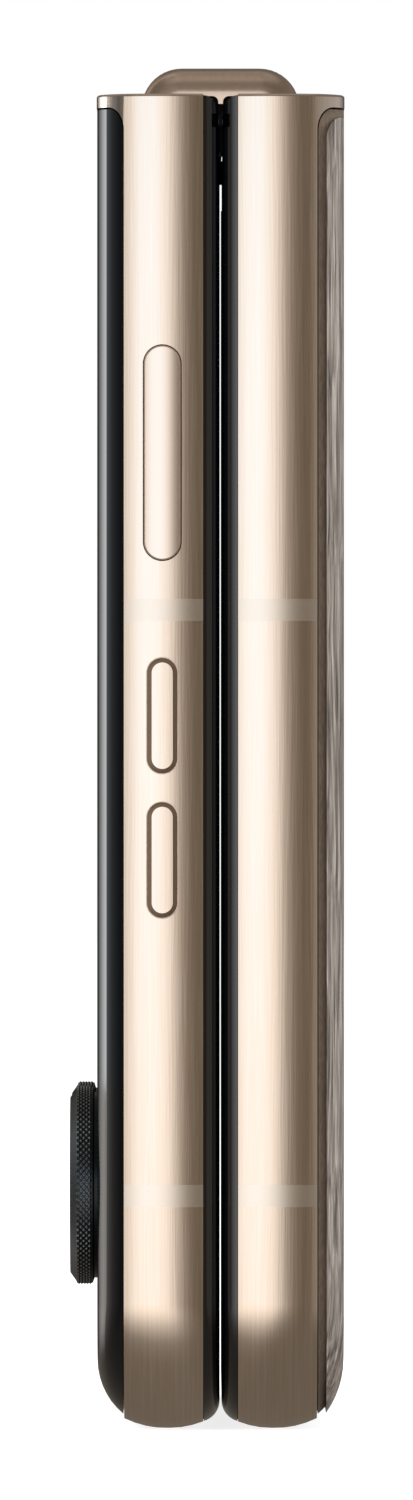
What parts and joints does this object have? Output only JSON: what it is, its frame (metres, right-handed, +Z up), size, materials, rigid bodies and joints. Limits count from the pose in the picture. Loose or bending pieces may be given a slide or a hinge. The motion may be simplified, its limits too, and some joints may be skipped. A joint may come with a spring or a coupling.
{
  "type": "flip phone",
  "caption": "Folding clamshell phone with a flexible main screen, geared double-axis hinge, domed covers, side keys and knurled camera rings.",
  "frame": {"origin": "centre of the folded phone's bounding box, on the surface it stands on", "axes": "+Z up from the free ends to the hinge, -Y the front with the cover screen and camera rings, +X the side with the keys"},
  "size_m": [0.072, 0.0172, 0.0852],
  "materials": {
    "frame": "brushed, champagne anodised",
    "band": "matt, same tone as the frame",
    "bezel": "satin black",
    "screen": "gloss, off",
    "plate": "bare",
    "cover_glass": "gloss black",
    "back_cover": "satin with a grained pattern under it",
    "tray": "satin dark brown",
    "spine": "satin, anodised",
    "key": "satin, anodised",
    "ring": "knurled, black anodised",
    "lens": "coated",
    "module": "moulded",
    "board": "solder mask",
    "can": "tinned",
    "cell": "foil pouch",
    "coil": "enamelled winding"
  },
  "bodies": {
    "lower_half": {"lower_frame": "frame", "lower_antenna_bands": "band", "lower_bezel": "bezel", "screen_lower": "screen", "lower_display_plate": "plate", "lower_hinge_brackets": "plate", "lower_screws": "plate", "back_cover": "back_cover", "back_cover_base": "tray", "lower_battery": "cell", "sub_board": "board", "usb_c_receptacle": "plate", "loudspeaker": "module", "charging_coil": "coil", "vibration_motor": "module"},
    "spine": {"hinge_cover": "spine", "hinge_end_caps": "bezel", "display_fold": "screen", "gear_shafts": "plate", "cam_followers": "plate", "disc_springs": "plate", "hinge_block_left": "plate", "hinge_block_right": "plate"},
    "upper_half": {"upper_frame": "frame", "upper_antenna_bands": "band", "upper_bezel": "bezel", "screen_upper": "screen", "cover_display": "screen", "upper_display_plate": "plate", "upper_hinge_brackets": "plate", "sim_socket": "plate", "upper_screws": "plate", "cover_glass": "cover_glass", "camera_ring_near": "ring", "camera_ring_far": "ring", "camera_lens_near": "lens", "camera_lens_far": "lens", "flash_lens": "lens", "camera_module_near": "module", "camera_module_far": "module", "front_camera": "module", "earpiece": "module", "key_switches": "module", "main_board": "board", "shield_cans": "can", "upper_battery": "cell"},
    "side_key": {"side_key": "key"},
    "volume_up_key": {"volume_up_key": "key"},
    "volume_down_key": {"volume_down_key": "key"},
    "sim_tray": {"sim_tray": "key"},
    "sync_arm_lower_left": {"sync_arm_lower_left": "plate"},
    "idler_gear_lower_left": {"idler_gear_lower_left": "plate"},
    "sync_arm_upper_left": {"sync_arm_upper_left": "plate"},
    "idler_gear_upper_left": {"idler_gear_upper_left": "plate"},
    "sync_arm_lower_right": {"sync_arm_lower_right": "plate"},
    "idler_gear_lower_right": {"idler_gear_lower_right": "plate"},
    "sync_arm_upper_right": {"sync_arm_upper_right": "plate"},
    "idler_gear_upper_right": {"idler_gear_upper_right": "plate"}
  },
  "joints": [
    {"name": "fold_lower", "type": "hinge", "parent": "spine", "child": "lower_half", "pos_m": [0, 0.00198, 0.0824], "axis": [1, 0, 0], "range_deg": [0, 90], "deforming": ["display_fold"]},
    {"name": "fold_upper", "type": "hinge", "parent": "spine", "child": "upper_half", "pos_m": [0, -0.00028, 0.0824], "axis": [-1, 0, 0], "range_deg": [0, 90]},
    {"name": "sync_arm_lower_left_turn", "type": "hinge", "parent": "spine", "child": "sync_arm_lower_left", "pos_m": [0, 0.00355, 0.0834], "axis": [-1, 0, 0], "range_deg": [-90, 0]},
    {"name": "idler_gear_lower_left_turn", "type": "hinge", "parent": "spine", "child": "idler_gear_lower_left", "pos_m": [0, 0.00175, 0.0834], "axis": [-1, 0, 0], "range_deg": [0, 90]},
    {"name": "sync_arm_upper_left_turn", "type": "hinge", "parent": "spine", "child": "sync_arm_upper_left", "pos_m": [0, -0.00185, 0.0834], "axis": [-1, 0, 0], "range_deg": [0, 90]},
    {"name": "idler_gear_upper_left_turn", "type": "hinge", "parent": "spine", "child": "idler_gear_upper_left", "pos_m": [0, -0.00005, 0.0834], "axis": [-1, 0, 0], "range_deg": [-90, 0]},
    {"name": "sync_arm_lower_right_turn", "type": "hinge", "parent": "spine", "child": "sync_arm_lower_right", "pos_m": [0, 0.00355, 0.0834], "axis": [-1, 0, 0], "range_deg": [-90, 0]},
    {"name": "idler_gear_lower_right_turn", "type": "hinge", "parent": "spine", "child": "idler_gear_lower_right", "pos_m": [0, 0.00175, 0.0834], "axis": [-1, 0, 0], "range_deg": [0, 90]},
    {"name": "sync_arm_upper_right_turn", "type": "hinge", "parent": "spine", "child": "sync_arm_upper_right", "pos_m": [0, -0.00185, 0.0834], "axis": [-1, 0, 0], "range_deg": [0, 90]},
    {"name": "idler_gear_upper_right_turn", "type": "hinge", "parent": "spine", "child": "idler_gear_upper_right", "pos_m": [0, -0.00005, 0.0834], "axis": [-1, 0, 0], "range_deg": [-90, 0]},
    {"name": "side_key_press", "type": "slide", "parent": "upper_half", "child": "side_key", "axis": [-1, 0, 0], "range_m": [0, 0.0003], "stiffness_N_per_m": 5000},
    {"name": "volume_up_key_press", "type": "slide", "parent": "upper_half", "child": "volume_up_key", "axis": [-1, 0, 0], "range_m": [0, 0.0003], "stiffness_N_per_m": 5000},
    {"name": "volume_down_key_press", "type": "slide", "parent": "upper_half", "child": "volume_down_key", "axis": [-1, 0, 0], "range_m": [0, 0.0003], "stiffness_N_per_m": 5000},
    {"name": "sim_tray_slide", "type": "slide", "parent": "upper_half", "child": "sim_tray", "axis": [-1, 0, 0], "range_m": [0, 0.022]}
  ],
  "couplings": [
    {"joint": "fold_upper", "follows": "fold_lower", "ratio": 1},
    {"joint": "sync_arm_lower_left_turn", "follows": "fold_lower", "ratio": -1},
    {"joint": "idler_gear_lower_left_turn", "follows": "fold_lower", "ratio": 1},
    {"joint": "sync_arm_upper_left_turn", "follows": "fold_lower", "ratio": 1},
    {"joint": "idler_gear_upper_left_turn", "follows": "fold_lower", "ratio": -1},
    {"joint": "sync_arm_lower_right_turn", "follows": "fold_lower", "ratio": -1},
    {"joint": "idler_gear_lower_right_turn", "follows": "fold_lower", "ratio": 1},
    {"joint": "sync_arm_upper_right_turn", "follows": "fold_lower", "ratio": 1},
    {"joint": "idler_gear_upper_right_turn", "follows": "fold_lower", "ratio": -1}
  ]
}
